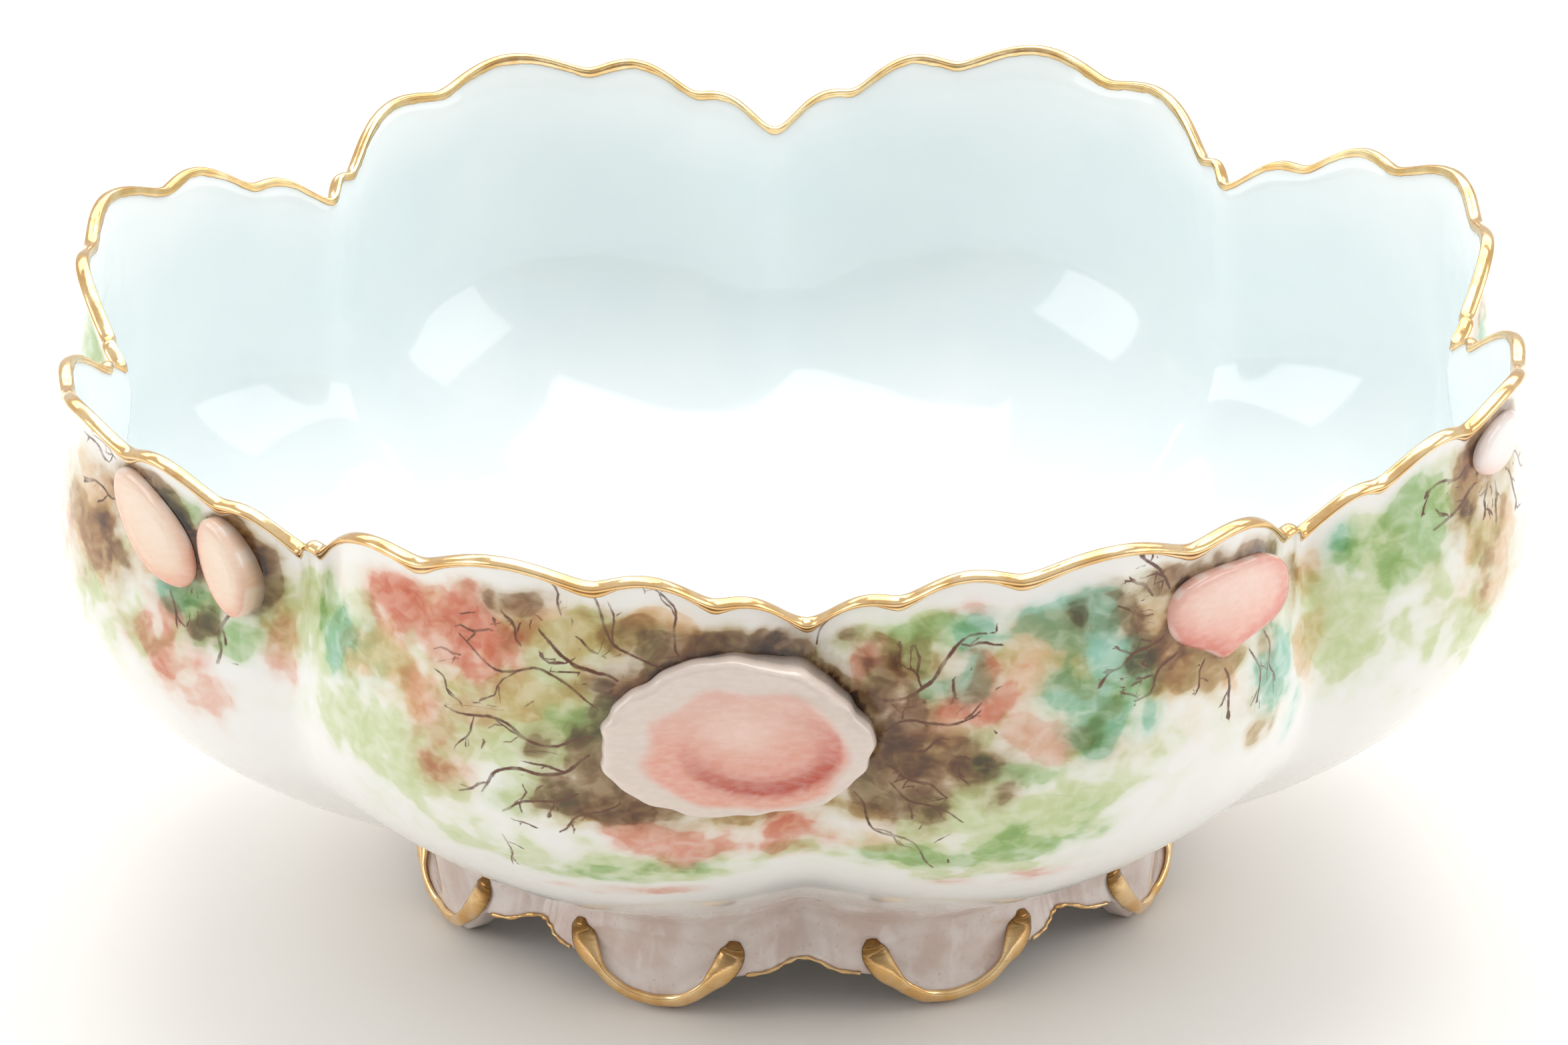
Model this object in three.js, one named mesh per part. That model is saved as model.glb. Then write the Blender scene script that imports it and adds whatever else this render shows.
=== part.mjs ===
// A footed porcelain serving bowl: eight lobes, a scalloped gilt rim, moulded shells
// on the outside and a foot ring cut into eight gilt-edged feet.
// Millimetres, +Z up. The origin is on the floor under the bowl's axis, the front is -Y,
// and an azimuth is in degrees from the front towards +X.
import * as THREE from 'three';

const { clamp, degToRad, euclideanModulo, lerp, radToDeg, smoothstep } = THREE.MathUtils;

// ---- Driving dimensions ----

const LOBE_COUNT = 8;
const LOBE_ANGLE = 360 / LOBE_COUNT;
const HALF_LOBE = LOBE_ANGLE / 2;

// Outside of the wall: height, radius in the middle of a lobe, radius in the crease between lobes
const PROFILE = [
  [12.0, 0, 0],
  [12.6, 22, 20],
  [14.6, 44, 39],
  [19.5, 66, 57],
  [27.5, 85, 73.5],
  [38.5, 103.5, 94],
  [51.5, 118, 110],
  [66, 126, 115.5],
  [80, 127.2, 115],
  [91, 126, 113.4],
  [97, 125.9, 113.2],
  [100, 127, 114],
];
const WALL_THICKNESS = 3;
const SHOULDER_HEIGHT = 66; // the wall stretches above this height to meet the rim
const RIM_HEIGHT = PROFILE.at(-1)[0];

const NOTCH_HEIGHT = 92; // rim at a crease
const CROWN_RISE = 10.2; // how much higher the rim is in the middle of a lobe
const SCALLOP_JOINTS = [0, 7, 15.7, 29.2, 41.5, 45]; // where the scallops of one lobe meet
const SCALLOP_RISE = 0.808; // height of a scallop one degree wide; it grows with the root of the width
const CROWN_FULLNESS = 1.4; // how steeply the rim rises beside a notch
const WIDE_SCALLOP = 9; // degrees; a wider scallop is meshed with one column more
const FLUTE_DEPTH = 1; // the wall pulls in this much where two scallops meet
const FLUTE_TOP = 100; // profile heights between which the flutes fade out
const FLUTE_BOTTOM = 86;

const GILDING_GAP = 0.3;
const RIM_GILDING_THICKNESS = 0.45;

const FOOT_TOP_LOBE = 65.5; // radius of the foot ring where it meets the wall
const FOOT_TOP_CREASE = 57.5;
const FOOT_THICKNESS = 4.5;
const FOOT_HEIGHT = 19.5;
const FOOT_TAPER = 1.6; // a foot draws in this much towards the floor
const SKIRT_FLARE = 1.6; // the skirt between the feet spreads this much towards its edge
const CREASE_FLARE = 5; // and this much more under a crease
const SKIRT_END = 8; // degrees from a crease between which the skirt turns into a foot
const FOOT_START = 15;
const LUTING_GAP = 0.4;
const FOOT_OUTSIDE = [0, 0.3, 0.65, 1]; // rings of the foot ring: share of the way up from its edge
const FOOT_INSIDE = [1, 0.5, 0];

// Lower edge of the foot ring: degrees from a crease, height
const FOOT_EDGE = [
  [0, 9.6],
  [3, 9.2],
  [5.5, 8.3],
  [8.5, 8.0],
  [10.5, 7.3],
  [13.5, 5.0],
  [16.5, 2.2],
  [18.5, 0],
  [HALF_LOBE, 0],
];

// Gilding along the edge of a foot: degrees from a crease, height, half width of the band
const FOOT_BAND = [
  [10.3, 14.1, 1.0],
  [10.3, 12.6, 1.9],
  [10.9, 10.7, 2.3],
  [12.1, 8.5, 2.1],
  [13.9, 6.3, 1.5],
  [16, 4.4, 1.2],
  [18.8, 2.7, 1.1],
  [HALF_LOBE, 2.1, 1.1],
];
const FOOT_BAND_DEPTH = 0.7;

const ARCH_BEAD_REACH = 6.4; // degrees each side of a crease
const ARCH_STEPS = [-1, -0.7, -0.4, 0, 0.4, 0.7, 1]; // shares of that reach
const ARCH_BEAD_RADIUS = 0.5;

// ---- Meshing helpers ----

/** One closed body through a list of rings that all have the same number of points. */
function skin(rings, { loop = false } = {}) {
  const count = rings[0].length;
  const positions = rings.flat().flatMap((point) => point.toArray());
  const index = [];
  const joins = loop ? rings.length : rings.length - 1;
  for (let ring = 0; ring < joins; ring += 1) {
    const lower = ring * count;
    const upper = ((ring + 1) % rings.length) * count;
    for (let i = 0; i < count; i += 1) {
      const next = (i + 1) % count;
      index.push(lower + i, lower + next, upper + next);
      index.push(lower + i, upper + next, upper + i);
    }
  }
  if (!loop) {
    closeEnd(positions, index, rings[0], 0, true);
    closeEnd(positions, index, rings.at(-1), (rings.length - 1) * count, false);
  }
  return facingOut(positions, index);
}

/** Closes a ring with a fan around its middle. */
function closeEnd(positions, index, ring, start, reversed) {
  const middle = new THREE.Vector3();
  for (const point of ring) {
    middle.addScaledVector(point, 1 / ring.length);
  }
  const hub = positions.length / 3;
  positions.push(...middle.toArray());
  for (let i = 0; i < ring.length; i += 1) {
    const a = start + i;
    const b = start + ((i + 1) % ring.length);
    index.push(hub, reversed ? b : a, reversed ? a : b);
  }
}

/** A geometry whose faces point out, whichever way round its rings were listed. */
function facingOut(positions, index) {
  const corner = (i) => new THREE.Vector3().fromArray(positions, index[i] * 3);
  let volume = 0;
  for (let i = 0; i < index.length; i += 3) {
    volume += corner(i).dot(corner(i + 1).cross(corner(i + 2)));
  }
  if (volume < 0) {
    index.reverse();
  }
  const geometry = new THREE.BufferGeometry();
  geometry.setAttribute('position', new THREE.Float32BufferAttribute(positions, 3));
  geometry.setIndex(index);
  geometry.computeVertexNormals();
  return geometry;
}

/** The point at an azimuth, a radius and a height. */
function polar(azimuth, radius, height) {
  const angle = degToRad(azimuth);
  return new THREE.Vector3(radius * Math.sin(angle), -radius * Math.cos(angle), height);
}

/** Straight-line interpolation in a table of [key, value] rows. */
function lookUp(table, key) {
  const last = table.length - 2;
  const row = clamp(table.findIndex((entry) => entry[0] > key) - 1, 0, last);
  const start = key >= table.at(-1)[0] ? last : row;
  const part = (key - table[start][0]) / (table[start + 1][0] - table[start][0]);
  return lerp(table[start][1], table[start + 1][1], part);
}

/** The parameter in 0..1 at which a rising function reaches a value. */
function solveRising(rising, value) {
  let low = 0;
  let high = 1;
  for (let step = 0; step < 40; step += 1) {
    const middle = (low + high) / 2;
    if (rising(middle) < value) {
      low = middle;
    } else {
      high = middle;
    }
  }
  return (low + high) / 2;
}

// ---- The wall ----

const lobeProfile = new THREE.SplineCurve(PROFILE.map((row) => new THREE.Vector2(row[1], row[0])));
const creaseProfile = new THREE.SplineCurve(PROFILE.map((row) => new THREE.Vector2(row[2], row[0])));

/** 0 in the middle of a lobe and 1 in a crease, along the arc of a circle. */
function creaseShare(azimuth) {
  return ((euclideanModulo(azimuth, LOBE_ANGLE) - HALF_LOBE) / HALF_LOBE) ** 2;
}

/** Degrees into a lobe. The scallops mirror about the X and the Y axis. */
function intoLobe(azimuth) {
  const side = Math.abs(euclideanModulo(azimuth + 180, 360) - 180);
  return euclideanModulo(Math.min(side, 180 - side), LOBE_ANGLE);
}

/** The width of the scallop at an azimuth, and its swell: 0 at the joints, 1 in the middle. */
function scallop(azimuth) {
  const place = intoLobe(azimuth);
  const next = clamp(SCALLOP_JOINTS.findIndex((joint) => joint > place), 1, SCALLOP_JOINTS.length - 1);
  const width = SCALLOP_JOINTS[next] - SCALLOP_JOINTS[next - 1];
  return { width, swell: Math.sin((Math.PI * (place - SCALLOP_JOINTS[next - 1])) / width) };
}

function rimHeight(azimuth) {
  const { width, swell } = scallop(azimuth);
  const crown = CROWN_RISE * (1 - creaseShare(azimuth) ** CROWN_FULLNESS);
  return NOTCH_HEIGHT + crown + SCALLOP_RISE * Math.sqrt(width) * swell;
}

/** A point on the outside of the wall: t runs from the middle of the underside to the rim. */
function wallPoint(azimuth, t) {
  const lobe = lobeProfile.getPoint(t);
  const crease = creaseProfile.getPoint(t);
  const flute = FLUTE_DEPTH * (1 - scallop(azimuth).swell) * smoothstep(lobe.y, FLUTE_BOTTOM, FLUTE_TOP);
  const radius = lerp(lobe.x, crease.x, creaseShare(azimuth)) - flute;
  const stretch = (rimHeight(azimuth) - SHOULDER_HEIGHT) / (RIM_HEIGHT - SHOULDER_HEIGHT);
  const above = Math.max(0, lobe.y - SHOULDER_HEIGHT);
  return polar(azimuth, radius, lobe.y - above + above * stretch);
}

/** The wall's outward normal and its upward tangent. */
function wallFrame(azimuth, t) {
  const turn = 0.1;
  const step = 0.002;
  const around = wallPoint(azimuth + turn, t).sub(wallPoint(azimuth - turn, t));
  const up = wallPoint(azimuth, Math.min(1, t + step)).sub(wallPoint(azimuth, t - step)).normalize();
  return { normal: around.cross(up).normalize(), up };
}

/** A point at a distance outside the wall's outer face; a negative distance goes inwards. */
function besideWall(azimuth, t, distance) {
  return wallPoint(azimuth, t).addScaledVector(wallFrame(azimuth, t).normal, distance);
}

/** The parameter of the wall at a height. */
function wallParameter(azimuth, height) {
  return solveRising((t) => wallPoint(azimuth, t).z, height);
}

/** Azimuths all round the bowl, with a column at each joint between scallops. */
function wallAzimuths() {
  const azimuths = [];
  for (let lobe = 0; lobe < LOBE_COUNT; lobe += 1) {
    const mirrored = lobe * LOBE_ANGLE >= 90 && lobe * LOBE_ANGLE < 180;
    const mirroredBack = lobe * LOBE_ANGLE >= 270;
    const joints = mirrored || mirroredBack
      ? SCALLOP_JOINTS.map((joint) => LOBE_ANGLE - joint).reverse()
      : SCALLOP_JOINTS;
    for (let i = 0; i < joints.length - 1; i += 1) {
      const width = joints[i + 1] - joints[i];
      const columns = width > WIDE_SCALLOP ? 3 : 2;
      for (let column = 0; column < columns; column += 1) {
        azimuths.push(lobe * LOBE_ANGLE + joints[i] + (width * column) / columns);
      }
    }
  }
  return azimuths;
}

const WALL_AZIMUTHS = wallAzimuths();
const knot = (k) => k / (PROFILE.length - 1);
const GILDING_EDGE = PROFILE.length - 1.65; // the rim's gilding ends here, counted in profile rows
const OUTSIDE_ROWS = [1, 2, 3, 4, 5, 6, 7, 8, 9, 10, GILDING_EDGE, 11];
const INSIDE_ROWS = [11, GILDING_EDGE, 9, 7.5, 6, 5, 4, 3, 1.5];

function wallGeometry() {
  const ringAt = (row, distance) => WALL_AZIMUTHS.map((azimuth) => besideWall(azimuth, knot(row), distance));
  const outside = OUTSIDE_ROWS.map((row) => ringAt(row, 0));
  const inside = INSIDE_ROWS.map((row) => ringAt(row, -WALL_THICKNESS));
  return skin([...outside, ...inside]);
}

/** A thin saddle over the lip, clear of it by the gilding gap. */
function rimGildingGeometry() {
  const low = knot(GILDING_EDGE);
  const inner = GILDING_GAP;
  const outer = GILDING_GAP + RIM_GILDING_THICKNESS;
  const corners = [
    [low, inner, 0],
    [1, inner, inner],
    [1, -WALL_THICKNESS - inner, inner],
    [low, -WALL_THICKNESS - inner, 0],
    [low, -WALL_THICKNESS - outer, 0],
    [1, -WALL_THICKNESS - outer, inner],
    [1, -WALL_THICKNESS / 2, outer + inner],
    [1, outer, inner],
    [low, outer, 0],
  ];
  const rings = corners.map(([t, distance, rise]) => WALL_AZIMUTHS.map(
    (azimuth) => besideWall(azimuth, t, distance).addScaledVector(wallFrame(azimuth, t).up, rise),
  ));
  return skin(rings, { loop: true });
}

// ---- The foot ring ----

/** Degrees from the nearest crease. */
function fromCrease(azimuth) {
  const into = euclideanModulo(azimuth, LOBE_ANGLE);
  return Math.min(into, LOBE_ANGLE - into);
}

function footTopRadius(azimuth) {
  return lerp(FOOT_TOP_LOBE, FOOT_TOP_CREASE, creaseShare(azimuth));
}

/** A point on the outside of the foot ring. */
function footPoint(azimuth, height) {
  const drop = clamp(1 - height / FOOT_HEIGHT, 0, 1);
  const onFoot = smoothstep(fromCrease(azimuth), SKIRT_END, FOOT_START);
  const flare = (SKIRT_FLARE + CREASE_FLARE * creaseShare(azimuth)) * drop;
  const radius = footTopRadius(azimuth) + lerp(flare, -FOOT_TAPER * drop ** 2, onFoot);
  return polar(azimuth, radius, height);
}

function footNormal(azimuth, height) {
  const around = footPoint(azimuth + 0.2, height).sub(footPoint(azimuth - 0.2, height));
  const up = footPoint(azimuth, height + 0.1).sub(footPoint(azimuth, height - 0.1));
  return around.cross(up).normalize();
}

/** The height of the wall's underside at a radius. */
function undersideHeight(azimuth, radius) {
  const t = solveRising((s) => Math.hypot(wallPoint(azimuth, s).x, wallPoint(azimuth, s).y), radius);
  return wallPoint(azimuth, t).z;
}

function footAzimuths() {
  const half = FOOT_EDGE.map((row) => row[0]);
  const offsets = [...half.slice(1, -1).map((offset) => -offset).reverse(), ...half];
  const azimuths = [];
  for (let lobe = 0; lobe < LOBE_COUNT; lobe += 1) {
    azimuths.push(...offsets.map((offset) => lobe * LOBE_ANGLE + offset));
  }
  return azimuths;
}

function footRingGeometry() {
  const azimuths = footAzimuths();
  const ringAt = (share, inset) => azimuths.map((azimuth) => {
    const edge = lookUp(FOOT_EDGE, fromCrease(azimuth));
    const top = undersideHeight(azimuth, footTopRadius(azimuth) - inset) - LUTING_GAP;
    const height = lerp(edge, top, share);
    const point = footPoint(azimuth, height);
    const radius = Math.hypot(point.x, point.y) - inset;
    return polar(azimuth, radius, height);
  });
  const outside = FOOT_OUTSIDE.map((share) => ringAt(share, 0));
  const inside = FOOT_INSIDE.map((share) => ringAt(share, FOOT_THICKNESS));
  return skin([...outside, ...inside], { loop: true });
}

/** A band of varying width that lies on the foot ring along a path of [azimuth, height, half width]. */
function bandGeometry(path, depth, sides = 6) {
  const centres = path.map(([azimuth, height]) => footPoint(azimuth, height)
    .addScaledVector(footNormal(azimuth, height), GILDING_GAP + depth));
  const rings = path.map(([azimuth, height, halfWidth], i) => {
    const before = centres[Math.max(0, i - 1)];
    const after = centres[Math.min(path.length - 1, i + 1)];
    const normal = footNormal(azimuth, height);
    const side = after.clone().sub(before).cross(normal).normalize();
    return Array.from({ length: sides }, (_, k) => {
      const turn = (2 * Math.PI * k) / sides;
      return centres[i].clone()
        .addScaledVector(side, halfWidth * Math.cos(turn))
        .addScaledVector(normal, depth * Math.sin(turn));
    });
  });
  return skin(rings);
}

/** The gilt edge of the foot in the middle of a lobe, with a scroll at each end. */
function footGildingGeometry(lobe) {
  const crease = lobe * LOBE_ANGLE;
  const near = FOOT_BAND.map(([offset, height, width]) => [crease + offset, height, width]);
  const far = FOOT_BAND.slice(0, -1)
    .map(([offset, height, width]) => [crease + LOBE_ANGLE - offset, height, width])
    .reverse();
  return bandGeometry([...near, ...far], FOOT_BAND_DEPTH);
}

/** The gilt line along the arch under a crease. */
function archGildingGeometry(lobe) {
  const path = ARCH_STEPS.map((share) => {
    const offset = share * ARCH_BEAD_REACH;
    const height = lookUp(FOOT_EDGE, Math.abs(offset)) + ARCH_BEAD_RADIUS;
    return [lobe * LOBE_ANGLE + offset, height, ARCH_BEAD_RADIUS];
  });
  return bandGeometry(path, ARCH_BEAD_RADIUS, 4);
}

// ---- The moulded shells ----

const SHELL_SEGMENTS = 16;
const SHELL_UNDER = [0.15, 0.6, 1]; // rings on the seat, then on the top: share of the way out
const SHELL_OVER = [1, 0.82, 0.45, 0.15];
const SHELL_GAP = 0.3;
const CREASE_FILL = 0.62; // a shell bridges the creases beyond this share

// Height of each kind of shell above its seat: share of the way out, height
const SHELL_FORMS = {
  oyster: [[0, 1.3], [0.45, 1.6], [0.82, 2.6], [1, 0.6]],
  mussel: [[0, 2.8], [0.45, 2.5], [0.82, 1.6], [1, 0.4]],
  clam: [[0, 2.4], [0.45, 2.2], [0.82, 1.6], [1, 0.4]],
};

// Outline of each kind of shell: reach for a direction, as a share of its half length
const SHELL_OUTLINES = {
  oyster: (angle) => 1 + 0.05 * Math.cos(3 * angle + 0.6),
  mussel: (angle) => 1 - 0.12 * Math.cos(angle),
  clam: (angle) => 1 + 0.3 * Math.max(0, Math.cos(angle + Math.PI / 2)) ** 6,
};

// The shells on the front half; the back half repeats them half a turn round.
// half is the half length and the half width, and tilt turns the length from level.
const SHELLS = [
  { name: 'oyster_shell', kind: 'oyster', azimuth: -5.4, height: 76.5, half: [20.6, 12.8], tilt: -3 },
  { name: 'mussel_shell_long', kind: 'mussel', azimuth: -57.2, height: 90.4, half: [11, 5.3], tilt: -40 },
  { name: 'mussel_shell_short', kind: 'mussel', azimuth: -50.1, height: 87.3, half: [8.3, 4.3], tilt: -57 },
  { name: 'clam_shell', kind: 'clam', azimuth: 33.1, height: 91.8, half: [15.2, 6.3], tilt: -5 },
  { name: 'cockle_shell', kind: 'mussel', azimuth: 65.2, height: 96.8, half: [7.4, 4.4], tilt: 12 },
];

/** The outside of the wall with its creases filled, so that a shell bridges them. */
function bridgedRadius(azimuth, t) {
  const point = wallPoint(azimuth, t);
  const lobe = lobeProfile.getPoint(t).x;
  const crease = creaseProfile.getPoint(t).x;
  const excess = Math.max(0, creaseShare(azimuth) - CREASE_FILL);
  return Math.hypot(point.x, point.y) + (lobe - crease) * excess;
}

function shellGeometry({ kind, azimuth, height, half: [halfLength, halfWidth], tilt }) {
  const seat = wallPoint(azimuth, wallParameter(azimuth, height));
  const seatRadius = Math.hypot(seat.x, seat.y);
  const turn = degToRad(tilt);
  const place = (angle, share) => {
    const reach = share * SHELL_OUTLINES[kind](angle);
    const along = halfLength * reach * Math.cos(angle);
    const across = halfWidth * reach * Math.sin(angle);
    const sideways = along * Math.cos(turn) - across * Math.sin(turn);
    const upwards = along * Math.sin(turn) + across * Math.cos(turn);
    const there = azimuth + radToDeg(sideways / seatRadius);
    return { there, t: wallParameter(there, height + upwards) };
  };
  const ringAt = (share, onTop) => Array.from({ length: SHELL_SEGMENTS }, (_, i) => {
    const { there, t } = place((2 * Math.PI * i) / SHELL_SEGMENTS, share);
    const seated = besideWall(there, t, SHELL_GAP);
    if (!onTop) {
      return seated;
    }
    const point = wallPoint(there, t);
    const filled = bridgedRadius(there, t) - Math.hypot(point.x, point.y);
    const { normal } = wallFrame(there, t);
    return seated.addScaledVector(normal, filled + lookUp(SHELL_FORMS[kind], share));
  });
  const under = SHELL_UNDER.map((share) => ringAt(share, false));
  const over = SHELL_OVER.map((share) => ringAt(share, true));
  return skin([...under, ...over]);
}

// ---- Materials and assembly ----

const MATERIALS = {
  porcelain: { color: 0xf3f4ef, roughness: 0.12, metalness: 0 },
  lustre: { color: 0xd9c9c2, roughness: 0.18, metalness: 0 },
  gilding: { color: 0xd9a24c, roughness: 0.25, metalness: 1 },
  enamel: { color: 0xf1c9b8, roughness: 0.15, metalness: 0 },
};

const bowl = new THREE.Group();

function addPiece(name, geometry, finish) {
  const piece = new THREE.Mesh(geometry, new THREE.MeshStandardMaterial(MATERIALS[finish]));
  piece.name = name;
  bowl.add(piece);
}

addPiece('bowl_wall', wallGeometry(), 'porcelain');
addPiece('foot_ring', footRingGeometry(), 'lustre');
addPiece('rim_gilding', rimGildingGeometry(), 'gilding');
for (let lobe = 0; lobe < LOBE_COUNT; lobe += 1) {
  addPiece(`foot_gilding_${lobe + 1}`, footGildingGeometry(lobe), 'gilding');
  addPiece(`arch_gilding_${lobe + 1}`, archGildingGeometry(lobe), 'gilding');
}
for (const shell of SHELLS) {
  addPiece(`${shell.name}_front`, shellGeometry(shell), 'enamel');
  addPiece(`${shell.name}_back`, shellGeometry({ ...shell, azimuth: shell.azimuth + 180 }), 'enamel');
}

export default bowl;
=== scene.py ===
import math

import bpy
import numpy as np
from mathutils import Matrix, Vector, noise


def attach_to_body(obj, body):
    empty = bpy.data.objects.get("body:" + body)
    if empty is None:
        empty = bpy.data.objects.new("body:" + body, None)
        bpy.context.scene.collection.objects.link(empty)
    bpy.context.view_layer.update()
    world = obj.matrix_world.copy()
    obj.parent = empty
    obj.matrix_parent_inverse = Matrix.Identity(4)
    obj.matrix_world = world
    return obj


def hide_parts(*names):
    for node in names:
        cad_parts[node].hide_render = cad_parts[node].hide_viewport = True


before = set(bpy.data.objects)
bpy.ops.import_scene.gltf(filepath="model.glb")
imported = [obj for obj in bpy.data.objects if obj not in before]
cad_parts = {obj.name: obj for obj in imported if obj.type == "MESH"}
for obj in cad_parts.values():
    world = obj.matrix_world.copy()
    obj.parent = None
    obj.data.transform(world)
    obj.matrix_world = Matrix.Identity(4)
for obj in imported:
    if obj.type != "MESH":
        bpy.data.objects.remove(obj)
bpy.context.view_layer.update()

MM = 0.001

# ---- Driving dimensions, as in the CAD part ----

LOBE = 45.0
HALF_LOBE = LOBE / 2

# Outside of the wall: height, radius in the middle of a lobe, radius in a crease
PROFILE = np.array([
    (12.0, 0, 0), (12.6, 22, 20), (14.6, 44, 39), (19.5, 66, 57), (27.5, 85, 73.5), (38.5, 103.5, 94),
    (51.5, 118, 110), (66, 126, 115.5), (80, 127.2, 115), (91, 126, 113.4), (97, 125.9, 113.2), (100, 127, 114),
])
HEIGHTS, LOBE_RADII, CREASE_RADII = PROFILE.T
SHOULDER = 66.0
NOTCH_HEIGHT = 92.0
CROWN_RISE = 10.2
CROWN_FULLNESS = 1.4
JOINTS = np.array([0, 7, 15.7, 29.2, 41.5, 45])
SCALLOP_RISE = 0.808
JOINT_SOFTNESS, FLUTE_SOFTNESS = 0.32, 0.5
FLUTE_DEPTH = 1.0
FLUTE_FROM, FLUTE_TO = 86.0, 100.0
CREASE_ROUNDING = 1.6
WALL_THICKNESS = 3.0
LIP_THICKNESS = 1.8
LIP_RISE = 0.45

FOOT_TOP_LOBE, FOOT_TOP_CREASE = 65.5, 57.5
FOOT_HEIGHT = 19.5
FOOT_THICKNESS = 4.5
FOOT_TAPER, SKIRT_FLARE = 1.6, 1.6
SOLE_ROUNDING = 2.2  # a foot curls in this much under its gilt lip
LIP_FLARE = 1.5  # and the lip stands out this much beside the scrolls
CREASE_FLARE = 5.0
SKIRT_END, FOOT_START = 8.0, 15.0
FOOT_EDGE = np.array([
    (0, 9.7), (1.5, 9.65), (3, 9.2), (4.4, 8.55), (5.5, 8.25), (7, 8.1), (8.8, 7.95),
    (10.6, 7.3), (13.2, 5.0), (15.8, 2.5), (18.4, 0.7), (20.2, 0.05), (HALF_LOBE, 0),
])
FOOT_BAND = np.array([
    (10.2, 14.2, 0.8), (10.3, 12.7, 1.9), (10.9, 10.8, 2.35), (12.1, 8.6, 2.1), (13.9, 6.4, 1.5),
    (16.2, 4.3, 1.2), (18.8, 2.7, 1.1), (HALF_LOBE, 2.15, 1.1),
])
ARCH_REACH = 6.4

SHELLS = {
    "oyster_shell": dict(kind="oyster", azimuth=-5.4, height=76.5, half=(20.6, 12.8), tilt=-3),
    "mussel_shell_long": dict(kind="mussel", azimuth=-57.1, height=90.1, half=(11.3, 5.5), tilt=-40),
    "mussel_shell_short": dict(kind="mussel", azimuth=-50.1, height=87.3, half=(8.3, 4.3), tilt=-57),
    "clam_shell": dict(kind="clam", azimuth=33.1, height=91.0, half=(14.6, 6.4), tilt=-5),
    "cockle_shell": dict(kind="mussel", azimuth=65.2, height=96.8, half=(7.4, 4.4), tilt=12, tone="cockle"),
}

COLUMNS = 640
DEGREE_MM = 2.1  # one degree round the wall's belly

# ---- The wall's shape ----


def smooth(value, low, high):
    part = np.clip((value - low) / (high - low), 0, 1)
    return part * part * (3 - 2 * part)


def spline(column, t):
    """A uniform Catmull-Rom spline through a column of the profile."""
    last = len(column) - 1
    place = np.clip(t, 0, 1) * last
    row = np.minimum(place.astype(int), last - 1)
    part = place - row
    before, start, end, after = (column[np.clip(row + k, 0, last)] for k in (-1, 0, 1, 2))
    leave, arrive = (end - before) / 2, (after - start) / 2
    return (
        (2 * start - 2 * end + leave + arrive) * part**3
        + (3 * end - 3 * start - 2 * leave - arrive) * part**2
        + leave * part
        + start
    )


T_TABLE = np.linspace(0, 1, 4001)
H_TABLE = spline(HEIGHTS, T_TABLE)


def from_crease(azimuth):
    return HALF_LOBE - np.abs(azimuth % LOBE - HALF_LOBE)


def crease_share(azimuth, rounding=CREASE_ROUNDING):
    """0 in the middle of a lobe and 1 in a crease, whose bottom is rounded."""
    eased = np.sqrt(from_crease(azimuth) ** 2 + rounding**2) - rounding
    return ((HALF_LOBE - eased) / HALF_LOBE) ** 2


def scallop(azimuth, soft=JOINT_SOFTNESS):
    """Width of the scallop at an azimuth, and its swell: 0 at the joints, 1 in the middle."""
    side = np.abs((azimuth + 180) % 360 - 180)
    place = np.minimum(side, 180 - side) % LOBE
    nearest = np.clip(np.searchsorted(JOINTS, place, side="right"), 1, len(JOINTS) - 1)
    start, end = JOINTS[nearest - 1], JOINTS[nearest]
    swell = np.sin(np.pi * (place - start) / (end - start))
    swell = (np.sqrt(swell**2 + soft**2) - soft) / (math.sqrt(1 + soft**2) - soft)
    return end - start, swell


def rim_height(azimuth):
    width, swell = scallop(azimuth)
    crown = CROWN_RISE * (1 - crease_share(azimuth) ** CROWN_FULLNESS)
    return NOTCH_HEIGHT + crown + SCALLOP_RISE * np.sqrt(width) * swell


def polar(azimuth, radius, height):
    angle = np.radians(azimuth)
    return np.stack(np.broadcast_arrays(radius * np.sin(angle), -radius * np.cos(angle), height), -1)


def wall_point(azimuth, t):
    azimuth, t = np.broadcast_arrays(np.asarray(azimuth, float), np.asarray(t, float))
    height = spline(HEIGHTS, t)
    lobe, crease = spline(LOBE_RADII, t), spline(CREASE_RADII, t)
    flute = FLUTE_DEPTH * (1 - scallop(azimuth, FLUTE_SOFTNESS)[1]) * smooth(height, FLUTE_FROM, FLUTE_TO)
    radius = lobe + (crease - lobe) * crease_share(azimuth) - flute
    above = np.maximum(0, height - SHOULDER)
    stretch = (rim_height(azimuth) - SHOULDER) / (HEIGHTS[-1] - SHOULDER)
    return polar(azimuth, radius, height - above + above * stretch)


def wall_frame(azimuth, t):
    """The wall's outward normal and its upward tangent."""
    turn, step = 0.1, 0.002
    around = wall_point(azimuth + turn, t) - wall_point(azimuth - turn, t)
    up = wall_point(azimuth, np.minimum(1, t + step)) - wall_point(azimuth, np.maximum(0, t - step))
    up = up / np.linalg.norm(up, axis=-1, keepdims=True)
    normal = np.cross(around, up)
    return normal / np.linalg.norm(normal, axis=-1, keepdims=True), up


def beside_wall(azimuth, t, distance, rise=0.0):
    """Points at a distance outside the wall, and raised along its upward tangent."""
    azimuth, t = np.broadcast_arrays(np.asarray(azimuth, float), np.asarray(t, float))
    normal, up = wall_frame(azimuth, t)
    distance, rise = np.broadcast_to(distance, t.shape), np.broadcast_to(rise, t.shape)
    return wall_point(azimuth, t) + normal * distance[..., None] + up * rise[..., None]


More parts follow.
